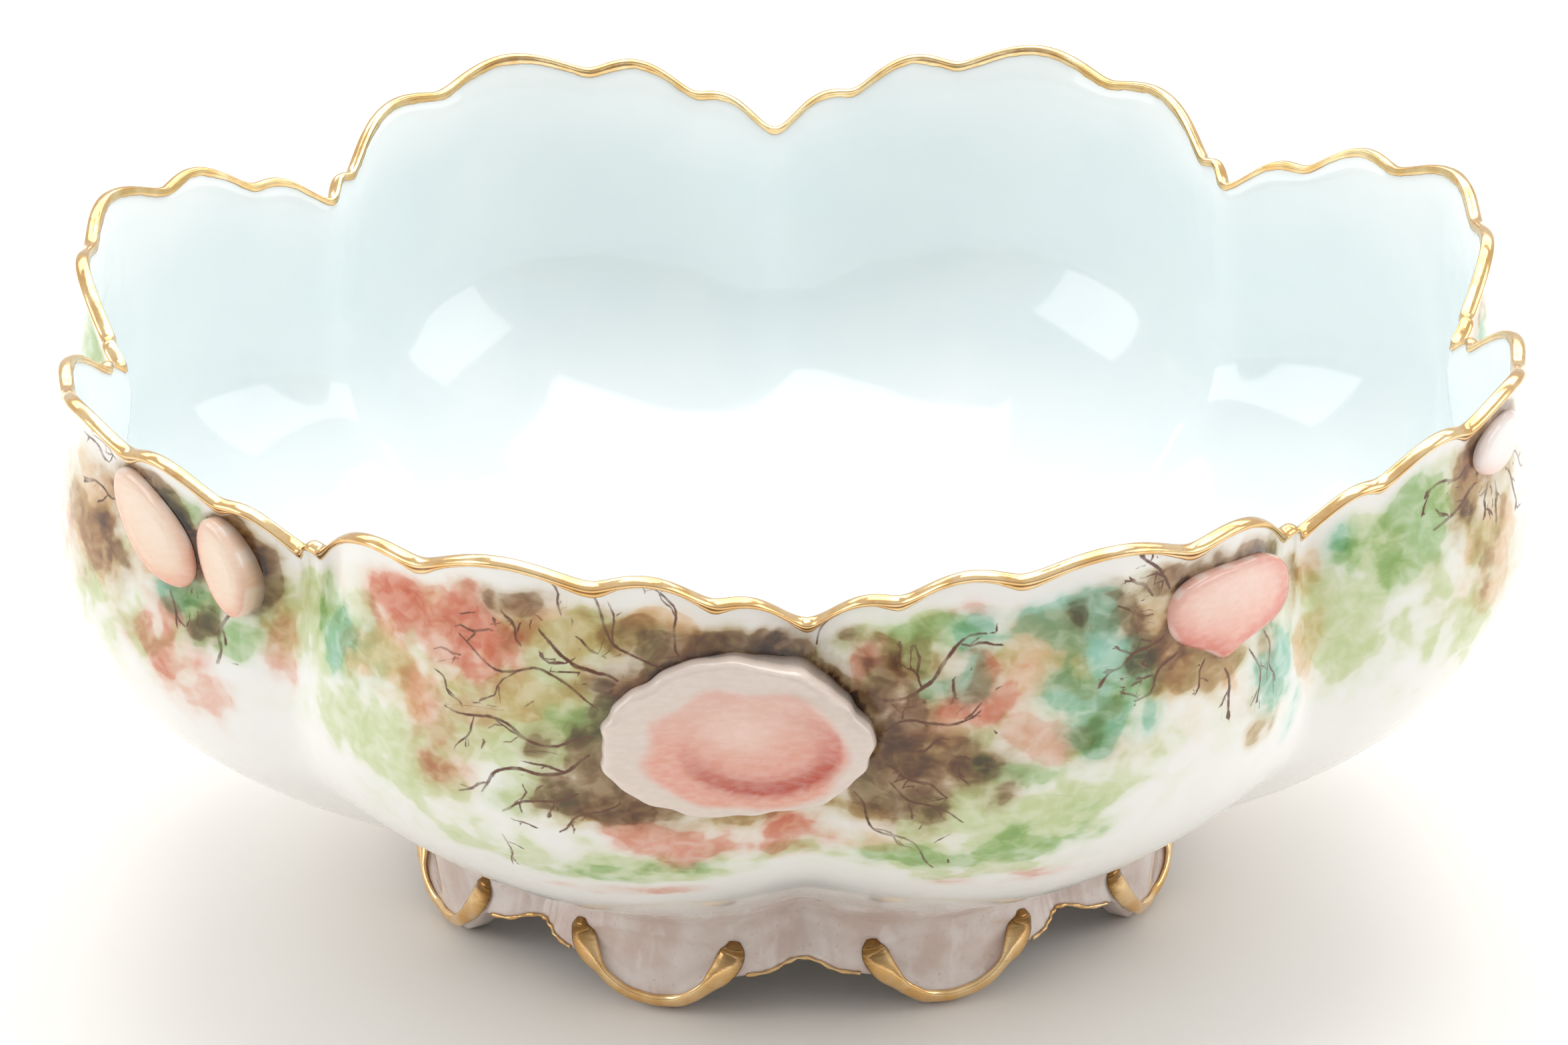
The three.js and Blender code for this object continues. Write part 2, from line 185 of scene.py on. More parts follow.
def wall_t(azimuth, height):
    """The parameter of the wall at a height."""
    stretch = (rim_height(azimuth) - SHOULDER) / (HEIGHTS[-1] - SHOULDER)
    plain = np.where(height > SHOULDER, SHOULDER + (height - SHOULDER) / stretch, height)
    return np.interp(plain, H_TABLE, T_TABLE)


# ---- Meshing ----


def mesh_piece(name, points, faces, materials, face_materials=None):
    """A smooth-shaded mesh object from points in millimetres."""
    mesh = bpy.data.meshes.new(name)
    mesh.from_pydata((points * MM).tolist(), [], faces)
    for material in materials:
        mesh.materials.append(material)
    if face_materials is not None:
        mesh.polygons.foreach_set("material_index", face_materials)
    mesh.polygons.foreach_set("use_smooth", [True] * len(faces))
    mesh.update()
    piece = bpy.data.objects.new(name, mesh)
    bpy.context.scene.collection.objects.link(piece)
    return piece


def ring_faces(rings, count, around=True, loop=False):
    """Quads between rings of points that are listed one after another."""
    faces = []
    for ring in range(rings if loop else rings - 1):
        low, high = ring * count, (ring + 1) % rings * count
        for i in range(count if around else count - 1):
            j = (i + 1) % count
            faces.append((low + i, low + j, high + j, high + i))
    return faces


def closed_faces(rings, count):
    """Quads between the rings, and a fan over each end around two extra points at the end of the list."""
    faces = ring_faces(rings, count)
    first, last = rings * count, rings * count + 1
    top = (rings - 1) * count
    for i in range(count):
        j = (i + 1) % count
        faces.append((first, j, i))
        faces.append((last, top + i, top + j))
    return faces


def with_hubs(rings):
    """Points of the rings, with the middle of the first and of the last ring added."""
    flat = rings.reshape(-1, 3)
    return np.vstack([flat, rings[0].mean(0), rings[-1].mean(0)])


def attach(piece, name, values):
    """A vector or colour for each point of a mesh, which its material reads."""
    attribute = piece.data.attributes.new(name, "FLOAT_VECTOR", "POINT")
    attribute.data.foreach_set("vector", np.asarray(values, np.float32).ravel())


def finish_piece(piece, slot, *nodes):
    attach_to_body(piece, "root")
    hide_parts(*nodes)
    return piece


# ---- Node helpers ----


class Nodes:
    """Short calls for building one material's nodes."""

    def __init__(self, name):
        self.material = bpy.data.materials.new(name)
        self.material.use_nodes = True
        self.tree = self.material.node_tree
        self.tree.nodes.clear()
        self.shader = self.add("ShaderNodeBsdfPrincipled")
        output = self.add("ShaderNodeOutputMaterial")
        self.tree.links.new(self.shader.outputs["BSDF"], output.inputs["Surface"])
        place = self.add("ShaderNodeTexCoord").outputs["Object"]
        self.mm = self.add("ShaderNodeVectorMath", {"operation": "SCALE"}, {0: place, "Scale": 1 / MM}).outputs[0]

    def add(self, kind, settings=None, inputs=None):
        node = self.tree.nodes.new(kind)
        for key, value in (settings or {}).items():
            setattr(node, key, value)
        for key, value in (inputs or {}).items():
            self.feed(node.inputs[key], value)
        return node

    def feed(self, socket, value):
        if isinstance(value, bpy.types.NodeSocket):
            self.tree.links.new(value, socket)
        else:
            socket.default_value = value

    def set(self, name, value):
        self.feed(self.shader.inputs[name], value)

    def math(self, operation, a, b=0.0, clamp=False):
        settings = {"operation": operation, "use_clamp": clamp}
        return self.add("ShaderNodeMath", settings, {0: a, 1: b}).outputs[0]

    def noise(self, scale, detail=2.0, stretch=(1, 1, 1), rough=0.5, shift=(0, 0, 0), distortion=0.0):
        """Noise between 0 and 1 whose grain is scale to the millimetre."""
        settings = {"operation": "MULTIPLY_ADD"}
        place = self.add("ShaderNodeVectorMath", settings, {0: self.mm, 1: stretch, 2: shift}).outputs[0]
        inputs = {"Vector": place, "Scale": scale, "Detail": detail, "Roughness": rough, "Distortion": distortion}
        return self.add("ShaderNodeTexNoise", None, inputs).outputs[0]

    def between(self, value, low, high, start=0.0, end=1.0, kind="SMOOTHSTEP"):
        inputs = {"Value": value, "From Min": low, "From Max": high, "To Min": start, "To Max": end}
        return self.add("ShaderNodeMapRange", {"interpolation_type": kind}, inputs).outputs[0]

    def mix(self, share, a, b, blend="MIX"):
        node = self.add("ShaderNodeMix", {"data_type": "RGBA", "blend_type": blend}, {0: share, 6: a, 7: b})
        return node.outputs[2]

    def attribute(self, name):
        return self.add("ShaderNodeAttribute", {"attribute_name": name})

    def split(self, vector):
        return self.add("ShaderNodeSeparateXYZ", None, {0: vector}).outputs

    def bump(self, height, distance_mm, strength=1.0):
        inputs = {"Height": height, "Distance": distance_mm * MM, "Strength": strength}
        self.set("Normal", self.add("ShaderNodeBump", None, inputs).outputs[0])


def linear(text):
    """A colour written as #rrggbb, as linear red, green and blue."""
    parts = [int(text[i:i + 2], 16) / 255 for i in (1, 3, 5)]
    return [c / 12.92 if c <= 0.04045 else ((c + 0.055) / 1.055) ** 2.4 for c in parts]


def rgba(text):
    return (*linear(text), 1)


# ---- Painting on the wall ----

# Enamels in the order they lie on each other: colour, then the fields where it gathers as
# (azimuth, height, reach around in degrees, reach up in mm, strength)
ENAMELS = {
    "lime": ("#d1dfaa", [
        (-26, 80, 22, 22, 0.42), (14, 80, 20, 24, 0.38), (-62, 82, 13, 20, 0.34), (54, 82, 13, 20, 0.4), (84, 84, 14, 18, 0.34),
        (-43, 88, 4, 10, 0.8), (-31, 70, 9, 6, 0.75), (-21, 80, 6, 6, 0.85), (-18, 93, 4, 5, 0.7), (15, 61, 8, 7, 0.8),
        (6, 95, 4, 4, 0.5), (48, 76, 4, 10, 0.8), (-61, 76, 3, 7, 0.6), (59, 66, 5, 7, 0.4), (-12, 51, 12, 4, 0.6),
        (10, 50, 10, 4, 0.5), (86, 82, 7, 9, 0.7), (-26, 56, 8, 5, 0.3),
    ]),
    "peach": ("#efcaa3", [
        (-22, 88, 18, 14, 0.36), (26, 86, 16, 16, 0.36), (-64, 88, 12, 15, 0.4), (66, 86, 12, 16, 0.36), (2, 64, 12, 9, 0.26),
        (-10, 98, 3, 3, 0.7), (-32, 83, 4, 5, 0.7), (17, 90, 3, 7, 0.8), (44.5, 78, 2.5, 10, 0.7), (-46, 80, 2, 9, 0.6),
        (63, 80, 4, 9, 0.5), (-65, 88, 4, 8, 0.5), (3, 57, 5, 3, 0.5), (-16, 97, 2.5, 5, 0.5), (92, 92, 5, 6, 0.5),
    ]),
    "green": ("#a6c98e", [
        (9, 54, 7, 4, 0.75), (14, 70, 3, 3, 0.7), (18, 58, 5, 5, 0.5), (20, 80, 3, 9, 0.5), (52, 87, 5, 7, 0.7),
        (56, 94, 3, 5, 0.6), (-51, 77, 4, 5, 0.7), (-40, 88, 3, 5, 0.5), (-16, 79, 3, 5, 0.6), (9, 92, 4, 5, 0.5),
        (-14, 51, 9, 3, 0.5), (82, 93, 5, 6, 0.7), (-55, 95, 3, 4, 0.5), (-19, 66, 4, 4, 0.45),
    ]),
    "teal": ("#8ecdb9", [
        (-37, 84, 4, 6, 0.7), (13, 95, 3, 5, 0.7), (19, 96, 3, 5, 0.8), (21.5, 83, 4, 9, 0.8), (11, 86, 3, 3, 0.6),
        (38, 76, 3, 8, 0.6), (-53, 81, 4, 5, 0.75), (41.5, 67, 2.5, 6, 0.4), (48, 90, 2, 4, 0.3), (77, 84, 5, 8, 0.6),
        (-80, 84, 5, 8, 0.6),
    ]),
    "pink": ("#f0bdac", [
        (-26, 82, 5, 7, 0.75), (-27, 93, 7, 6, 0.8), (10, 80, 4, 5, 0.7), (18, 75, 4, 4, 0.75), (11, 98, 5, 4, 0.6),
        (-73, 86, 5, 12, 0.8), (-46, 76, 2, 8, 0.6), (-54, 65, 4, 6, 0.6), (73, 82, 4, 12, 0.6), (0, 60, 7, 4, 0.4),
        (-88, 80, 5, 8, 0.5), (-27, 70, 3, 6, 0.5),
    ]),
    "salmon": ("#e4957f", [
        (-28, 97, 5, 5, 0.75), (-30, 90, 4, 4, 0.6), (-24, 90, 3, 5, 0.65), (-27, 71, 3, 6, 0.6), (-10, 57, 5, 5, 0.75),
        (-2, 56, 4, 5, 0.65), (12.5, 84, 4, 5, 0.85), (6, 86, 2.5, 5, 0.65), (-56.5, 73, 4, 8, 0.8), (11, 90, 3, 3, 0.5),
        (-16, 43, 7, 3, 0.45), (17, 45, 6, 3, 0.4), (90, 72, 5, 7, 0.5), (-33, 93, 3, 3, 0.4),
    ]),
    "tan": ("#ad8a55", [
        (-11, 94, 6, 5, 0.7), (7, 89, 3, 5, 0.6), (9, 72, 5, 5, 0.7), (-1, 62, 7, 3, 0.6), (29, 84, 5, 6, 0.75),
        (42, 87, 3, 6, 0.7), (36, 70, 2, 6, 0.5), (62, 92, 4, 8, 0.7), (60, 78, 4, 7, 0.5), (-65, 86, 4, 9, 0.7),
        (-50, 92, 3, 6, 0.6), (-15, 64, 4, 5, 0.6), (-17, 82, 3, 5, 0.5), (81, 76, 5, 7, 0.5), (-82, 94, 4, 5, 0.5),
        (-30, 100, 4, 3, 0.4),
    ]),
    # Umber enamel; paint_wall also lays painted shade around each shell into this channel
    "umber_and_shade": ("#7d5c3c", [
        (-9, 91, 6, 4, 0.8), (-1, 92, 5, 3, 0.7), (-14, 67, 5.5, 7, 0.95), (-17, 74, 3, 6, 0.5), (5.5, 76, 3.5, 11, 0.8), (9, 67, 4.5, 6, 0.75), (12, 72, 3, 6, 0.4),
        (-19, 99, 6, 4, 0.45), (23.5, 97, 4, 6, 0.7), (33, 100, 6, 3, 0.55), (35, 78, 2.5, 6, 0.45), (26, 87, 3, 4, 0.7),
        (42, 91, 2, 5, 0.6), (-60, 97, 4, 4, 0.6), (-62, 86, 2.5, 7, 0.6), (-52, 77, 2, 5, 0.35), (59.5, 93, 2.5, 8, 0.4),
        (-48, 93, 2, 5, 0.6),
    ]),
    # The darkest enamel is painted shade, laid close around the shells and under the rim
    "shade": ("#553a26", [
        (-13, 86, 3, 3, 0.5), (5.5, 80, 2, 6, 0.3), (24, 93, 2, 3, 0.35), (-52, 83, 1.2, 5, 0.2), (-18, 101, 3, 1.6, 0.3),
        (-4, 90.5, 5, 1.6, 0.5),
    ]),
}
# How far the painted shade around each shell reaches, in mm: wide for the umber enamel, narrow for the darkest one
SHADOW_REACH = 5.0
SHADE_REACH = 1.7

# Seaweed that grows out from behind each shell: fans as (first angle, last angle, sprigs, length in mm),
# where 0 degrees is to the right and 90 is up
SEAWEED = {
    "oyster_shell": [(-40, 62, 12, 23), (118, 225, 14, 25)],
    "mussel_shell_long": [(150, 225, 4, 11), (310, 330, 1, 10)],
    "mussel_shell_short": [(225, 310, 5, 10)],
    "clam_shell": [(200, 300, 7, 11), (140, 170, 3, 10)],
    "cockle_shell": [(170, 290, 7, 14)],
}
SEAWEED_COLOUR = "#5c3015"
STEM_STEPS = 9
BRANCHING = (0.5, 0.25)  # chance of a branch at each step of a stem, and of a twig on a branch
SEAWEED_LEVELS = 3
SEAWEED_GAP = 1.9  # between two lines of one level
STEM_WIDTH = 0.25  # half width in mm; each branch is two thirds of what it grows from
GROWTH_SEED = 11


def path_distance(azimuth, height, path, reach=1e9):
    """Which points lie within reach of a path of (azimuth, height), and for those the distance in mm,
    its sign by the side, the share along the path, and how far they lie past its ends."""
    path = np.array(path, float)
    x, y = (azimuth - path[0, 0] + 180) % 360 - 180, height
    corners = (path - (path[0, 0], 0)) * (DEGREE_MM, 1)
    low, high = corners.min(0) - reach, corners.max(0) + reach
    x = x * DEGREE_MM
    near = np.flatnonzero((x > low[0]) & (x < high[0]) & (y > low[1]) & (y < high[1]))
    x, y = x[near], y[near]
    best = np.full(x.shape, 1e9)
    sign, along, past = np.ones(x.shape), np.zeros(x.shape), np.zeros(x.shape)
    for i, ((x0, y0), (x1, y1)) in enumerate(zip(corners, corners[1:])):
        dx, dy = x1 - x0, y1 - y0
        free = ((x - x0) * dx + (y - y0) * dy) / (dx * dx + dy * dy)
        share = np.clip(free, 0, 1)
        distance = np.hypot(x - x0 - share * dx, y - y0 - share * dy)
        place = (i + share) / (len(corners) - 1)
        nearer = distance < best
        best = np.where(nearer, distance, best)
        sign = np.where(nearer, np.sign(dx * (y - y0) - dy * (x - x0)), sign)
        along = np.where(nearer, place, along)
        over = np.abs(free - share) * math.hypot(dx, dy) * ((place <= 0) | (place >= 1))
        past = np.where(nearer, over, past)
    return near, best, sign, along, past


def half_turned(path):
    return [(azimuth + 180, height) for azimuth, height in path]


def rounded(path, steps=4):
    """A path with its corners rounded by a spline."""
    points = np.array(path, float)
    t = np.linspace(0, 1, (len(points) - 1) * steps + 1)
    return np.stack([spline(points[:, 0], t), spline(points[:, 1], t)], -1)


def grow(draw, start, heading, length, width, level=0):
    """A seaweed stem and its branches, each as (level, half width, whether it ends in a bud, path)."""
    path, x, y = [start], *start
    sway, phase, waves = draw.uniform(12, 34), draw.uniform(0, 2 * math.pi), draw.uniform(0.8, 1.7)
    drift = draw.normal(0, 12)
    branches = []
    for step in range(STEM_STEPS):
        share = step / STEM_STEPS
        turn = heading + drift * share + sway * math.sin(phase + 2 * math.pi * waves * share) + draw.normal(0, 7)
        x += length / STEM_STEPS * math.cos(math.radians(turn)) / DEGREE_MM
        y += length / STEM_STEPS * math.sin(math.radians(turn))
        path.append((x, y))
        if level < 2 and 0 < step < STEM_STEPS - 1 and draw.random() < BRANCHING[level]:
            side = draw.choice((-1, 1)) * draw.uniform(25, 55)
            rest = length * draw.uniform(0.2, 0.42)
            branches += grow(draw, (x, y), turn + side, rest, width * 0.7, level + 1)
    return [(level, width, draw.random() < 0.4, path)] + branches


def seaweed():
    """Every sprig on the front half of the bowl, without those that would tangle with one of their own level."""
    draw = np.random.default_rng(GROWTH_SEED)
    grown = []
    for name, fans in SEAWEED.items():
        shell = SHELLS[name]
        for first, last, count, length in fans:
            for angle in np.linspace(first, last, count) + draw.normal(0, 4, count):
                turn = math.radians(angle)
                reach = OUTLINES[shell["kind"]](turn) * draw.uniform(0.98, 1.3)
                along, across = shell["half"][0] * reach * math.cos(turn), shell["half"][1] * reach * math.sin(turn)
                azimuth, height = shell_place(shell, along, across)
                heading = angle + shell["tilt"] + draw.normal(0, 12)
                width = STEM_WIDTH * draw.uniform(0.7, 1.2)
                grown += grow(draw, (float(azimuth), float(height)), heading, length * draw.uniform(0.5, 1.1), width)
    kept, taken = [], [np.full((1, 2), 1e3) for _ in range(SEAWEED_LEVELS)]
    for level, width, bud, path in grown:
        points = rounded(path) * (DEGREE_MM, 1)
        gaps = np.linalg.norm(points[:, None] - taken[level][None], axis=-1)
        if gaps.min() > SEAWEED_GAP:
            kept.append((level, width, bud, path))
            taken[level] = np.vstack([taken[level], points])
    return kept


def seaweed_field(azimuth, height, level, sprigs):
    """Signed distance to the nearest line of a level, its half width there, and how strong it is."""
    nearest = np.full(azimuth.shape, 1e3)
    signed, widths, strength = np.full(azimuth.shape, 50.0), np.zeros(azimuth.shape), np.zeros(azimuth.shape)
    for own_level, half_width, bud, path in sprigs:
        if own_level != level:
            continue
        for half in (path, half_turned(path)):
            near, distance, sign, along, past = path_distance(azimuth, height, rounded(half), 1.6)
            taper = 0.5 + 0.5 * np.sin(np.pi * (0.15 + 0.8 * along))
            width = half_width * (taper + bud * 1.5 * smooth(along, 0.88, 0.96)) - past
            nearer = distance < nearest[near]
            chosen = near[nearer]
            nearest[chosen] = distance[nearer]
            signed[chosen] = (distance * sign)[nearer]
            widths[chosen] = width[nearer]
            strength[chosen] = (distance < 1.5)[nearer]
    return np.stack([signed, widths, strength], -1)


WARPS = ((1 / 16, 2.6), (1 / 7, 1.4))  # grain to the mm, reach in mm


def warp(points):
    """How far the brush strays at each point, in mm round and up."""
    moved = np.zeros((len(points), 2))
    for grain, size in WARPS:
        moved += size * np.array([noise.noise_vector(Vector(p * grain))[:2] for p in points])
    return moved


def gathered(azimuth, height, fields):
    """How strongly an enamel gathers at each point, front and back alike."""
    bare = np.ones(azimuth.shape)
    for centre, middle, around, up, strength in fields:
        for turned in (centre, centre + 180):
            away = np.hypot(((azimuth - turned + 180) % 360 - 180) / around, (height - middle) / up)
            bare *= 1 - strength * smooth(away, 1.7, 0.3)
    return 1 - bare


def shell_shadow(azimuth, height, reach):
    """Painted shade that darkens the wall around each moulded shell, most of all above it."""
    shell_shade = np.zeros(azimuth.shape)
    turn = np.linspace(0, 2 * np.pi, 41)
    for shell in SHELLS.values():
        size = OUTLINES[shell["kind"]](turn)
        there, up = shell_place(shell, shell["half"][0] * size * np.cos(turn), shell["half"][1] * size * np.sin(turn))
        path = list(zip(there, up))
        for half in (path, half_turned(path)):
            near, distance, _, along, _ = path_distance(azimuth, height, half, reach + 1)
            # the painted shade is heaviest above each shell
            above = 0.62 + 0.38 * np.sin(along * 2 * np.pi)
            shell_shade[near] = np.maximum(shell_shade[near], above * smooth(distance, reach, 0))
    return shell_shade


def shell_place(shell, along, across):
    """Azimuth and height of a place on a shell, given in mm along and across it."""
    turn = math.radians(shell["tilt"])
    seat = wall_point(shell["azimuth"], wall_t(np.array(shell["azimuth"]), np.array(float(shell["height"]))))
    radius = np.hypot(seat[..., 0], seat[..., 1])
    sideways = along * math.cos(turn) - across * math.sin(turn)
    upwards = along * math.sin(turn) + across * math.cos(turn)
    return shell["azimuth"] + np.degrees(sideways / radius), shell["height"] + upwards


OUTLINES = {
    "oyster": lambda angle: 1 + 0.035 * np.cos(3 * angle + 0.6) + 0.014 * np.sin(7 * angle + 1)
    + 0.011 * np.sin(13 * angle) + 0.007 * np.sin(23 * angle + 2),
    "mussel": lambda angle: 1 - 0.12 * np.cos(angle),
    "clam": lambda angle: 1 + 0.42 * np.exp(-np.abs((angle + 0.15) % (2 * np.pi) - 1.5 * np.pi) / 0.24) - 0.04 * np.cos(4 * angle),
}


def painted_wall_material():
    """White glaze under transparent enamels, whose densities add up."""
    nodes = Nodes("painted_porcelain")
    fine = nodes.noise(0.9, 3, rough=0.6)
    swept = nodes.noise(0.7, 2, (0.5, 0.5, 1.3))
    thick = nodes.between(nodes.noise(0.3, 2, (1, 1, 1.2), distortion=0.6), 0.3, 0.7, 0.6, 1.05)
    absorbed = (0, 0, 0)
    names = list(ENAMELS)
    for first in range(0, len(names), 3):
        channels = nodes.split(nodes.attribute(f"enamel_{first // 3}").outputs["Vector"])
        for name, gather in zip(names[first:first + 3], channels):
            shift = 37.0 * (names.index(name) + 1)
            blots = nodes.noise(0.12, 2, rough=0.45, shift=(shift, shift, 0), distortion=0.35)
            grain = nodes.math("ADD", nodes.math("MULTIPLY", blots, 0.93), nodes.math("MULTIPLY", swept, 0.07))
            ragged = nodes.math("MULTIPLY", nodes.math("SUBTRACT", grain, 0.5), 2.2)
            there = nodes.math("ADD", gather, nodes.math("MULTIPLY", ragged, nodes.between(gather, 0.0, 0.35)))
            soft = nodes.between(there, 0.0, 1.1, 0, 0.62)
            crisp = nodes.between(there, 0.46, 0.62, 0, 0.38)
            density = nodes.math("MULTIPLY", nodes.math("ADD", soft, crisp), thick)
            tone = [math.log(c) for c in linear(ENAMELS[name][0])]
            settings = {"operation": "MULTIPLY_ADD"}
            absorbed = nodes.add("ShaderNodeVectorMath", settings, {0: tone, 1: density, 2: absorbed}).outputs[0]
    passed = [nodes.math("EXPONENT", part) for part in nodes.split(absorbed)[:3]]
    passed = nodes.add("ShaderNodeCombineXYZ", None, dict(enumerate(passed))).outputs[0]
    ground = nodes.mix(nodes.noise(0.11, 3), rgba("#e9e9e6"), rgba("#efefed"))
    colour = nodes.mix(1.0, ground, passed, "MULTIPLY")
    wobble = nodes.math("MULTIPLY", nodes.math("SUBTRACT", fine, 0.5), 0.35)
    lines = []
    for level in range(SEAWEED_LEVELS):
        signed, width, strength = nodes.split(nodes.attribute(f"seaweed_{level}").outputs["Vector"])[:3]
        inside = nodes.math("SUBTRACT", nodes.math("ADD", width, wobble), nodes.math("ABSOLUTE", signed))
        lines.append(nodes.math("MULTIPLY", nodes.between(inside, -0.14, 0.1), nodes.between(strength, 0.55, 0.95)))
    line = nodes.math("MAXIMUM", nodes.math("MAXIMUM", lines[0], lines[1]), lines[2])
    faded = nodes.math("MULTIPLY", line, nodes.between(nodes.noise(0.3, 2), 0.3, 0.6, 0.5, 1.0))
    colour = nodes.mix(faded, colour, rgba(SEAWEED_COLOUR))
    nodes.set("Base Color", colour)
    nodes.set("Roughness", nodes.between(fine, 0.2, 0.8, 0.1, 0.2))
    nodes.shader.inputs["Coat Weight"].default_value = 0.3
    nodes.shader.inputs["Coat Roughness"].default_value = 0.06
    relief = nodes.math("ADD", nodes.math("MULTIPLY", nodes.noise(0.25, 2), 0.6), nodes.math("MULTIPLY", line, 0.25))
    nodes.bump(relief, 0.09, 0.35)
    return nodes.material


def inner_glaze_material():
    nodes = Nodes("turquoise_glaze")
    height = nodes.split(nodes.mm)[2]
    drift = nodes.math("ADD", height, nodes.math("MULTIPLY", nodes.noise(0.03, 2), 26))
    tint = nodes.mix(nodes.noise(0.05, 3), rgba("#dce8ea"), rgba("#e8f0f0"))
    colour = nodes.mix(nodes.between(drift, 28, 74), rgba("#fbfcfb"), tint)
    colour = nodes.mix(nodes.between(drift, 94, 117), colour, rgba("#f0f5f4"))
    nodes.set("Base Color", colour)
    nodes.set("Roughness", nodes.between(nodes.noise(0.4, 2), 0.2, 0.8, 0.07, 0.12))
    nodes.shader.inputs["Coat Weight"].default_value = 0.4
    nodes.shader.inputs["Coat Roughness"].default_value = 0.05
    nodes.bump(nodes.noise(0.16, 2), 0.15, 0.25)
    return nodes.material


def lustre_material():
    nodes = Nodes("pink_lustre")
    cloud = nodes.noise(0.12, 3)
    colour = nodes.mix(nodes.between(cloud, 0.35, 0.68), rgba("#e6dbd6"), rgba("#d6c1b8"))
    speck = nodes.noise(1.3, 2)
    colour = nodes.mix(nodes.between(speck, 0.6, 0.72, 0, 0.35), colour, rgba("#c79a90"))
    pale = nodes.between(nodes.noise(0.3, 2, (1, 1, 0.4)), 0.55, 0.7, 0, 0.5)
    colour = nodes.mix(pale, colour, rgba("#efe9e6"))
    nodes.set("Base Color", colour)
    nodes.set("Roughness", nodes.between(cloud, 0.3, 0.7, 0.12, 0.22))
    nodes.shader.inputs["Coat Weight"].default_value = 0.4
    nodes.shader.inputs["Coat Roughness"].default_value = 0.08
    nodes.bump(nodes.noise(0.45, 3), 0.15, 0.4)
    return nodes.material


def gold_material():
    """Burnished gold, with painted shade and a painted reflection of the room that brown it in the hollows."""
    nodes = Nodes("burnished_gold")
    brushed = nodes.noise(0.9, 4, (0.5, 0.5, 2.4))
    cloud = nodes.noise(0.2, 2)
    gold_shade = nodes.split(nodes.attribute("gold_shade").outputs["Vector"])[0]
    colour = nodes.mix(nodes.between(cloud, 0.3, 0.7), rgba("#f3d4a3"), rgba("#e3b678"))
    colour = nodes.mix(nodes.between(brushed, 0.58, 0.78, 0, 0.4), colour, rgba("#b0803f"))
    ragged = nodes.math("ADD", gold_shade, nodes.math("MULTIPLY", nodes.math("SUBTRACT", brushed, 0.5), gold_shade))
    # Painted shade and painted reflection: the gold turns brown where its attribute asks for it, in the hollows
    colour = nodes.mix(nodes.between(ragged, 0.1, 0.9, 0, 0.9), colour, rgba("#7a5426"))
    nodes.set("Base Color", colour)
    nodes.shader.inputs["Metallic"].default_value = 1.0
    nodes.set("Roughness", nodes.between(brushed, 0.3, 0.75, 0.09, 0.22))
    nodes.bump(nodes.noise(0.6, 2), 0.1, 0.3)
    return nodes.material


def shell_material():
    nodes = Nodes("shell_enamel")
    # The tint holds each shell's enamel colour together with its painted highlights and painted shade
    tint = nodes.attribute("tint").outputs["Vector"]
    grain = nodes.noise(0.8, 3, (0.6, 0.6, 1.6))
    colour = nodes.mix(nodes.between(grain, 0.35, 0.7, 0, 0.14), tint, rgba("#fbf1ea"))
    nodes.set("Base Color", colour)
    nodes.set("Roughness", nodes.between(grain, 0.2, 0.8, 0.08, 0.16))
    nodes.shader.inputs["Coat Weight"].default_value = 0.5
    nodes.shader.inputs["Coat Roughness"].default_value = 0.04
    nodes.bump(nodes.noise(0.35, 2), 0.2, 0.35)
    return nodes.material


# ---- The wall ----


def wall_rows():
    """Parameters of the rows on the outside, evenly spaced along the profile above the foot."""
    t = np.linspace(0, 1, 2001)
    length = np.concatenate([[0], np.cumsum(np.hypot(np.diff(spline(LOBE_RADII, t)), np.diff(spline(HEIGHTS, t))))])
    start = np.interp(56, spline(LOBE_RADII, t), length)
    under = np.interp(np.linspace(3, start, 10), length, t)
    fine = np.interp(np.linspace(start, length[-1], 104)[1:], length, t)
    return under, fine


def build_wall():
    azimuth = np.arange(COLUMNS) * 360 / COLUMNS - 180
    under, fine = wall_rows()
    outside = np.concatenate([under, fine])
    half = LIP_THICKNESS / 2
    rings = [beside_wall(azimuth, t, 0.0) for t in outside]
    for turn in np.linspace(0, np.pi, 6)[1:-1]:
        rings.append(beside_wall(azimuth, 1.0, half * (np.cos(turn) - 1), LIP_RISE * np.sin(turn)))
    inside = np.concatenate([fine[::-4], under[::-2]])
    for t in inside:
        thickness = WALL_THICKNESS + (LIP_THICKNESS - WALL_THICKNESS) * smooth(spline(HEIGHTS, np.array(t)), 84, 100)
        rings.append(beside_wall(azimuth, t, -thickness))
    rings = np.stack(rings)
    faces = closed_faces(len(rings), COLUMNS)
    painted = len(outside) + 2
    glazed = [int(i >= painted * COLUMNS) for i in range((len(rings) - 1) * COLUMNS)]
    glazed += [0, 1] * COLUMNS
    points = with_hubs(rings)
    wall = mesh_piece("bowl_wall", points, faces, [painted_wall_material(), inner_glaze_material()], glazed)
    paint_wall(wall, points, len(outside) * COLUMNS)
    return finish_piece(wall, "painted_porcelain", "bowl_wall")


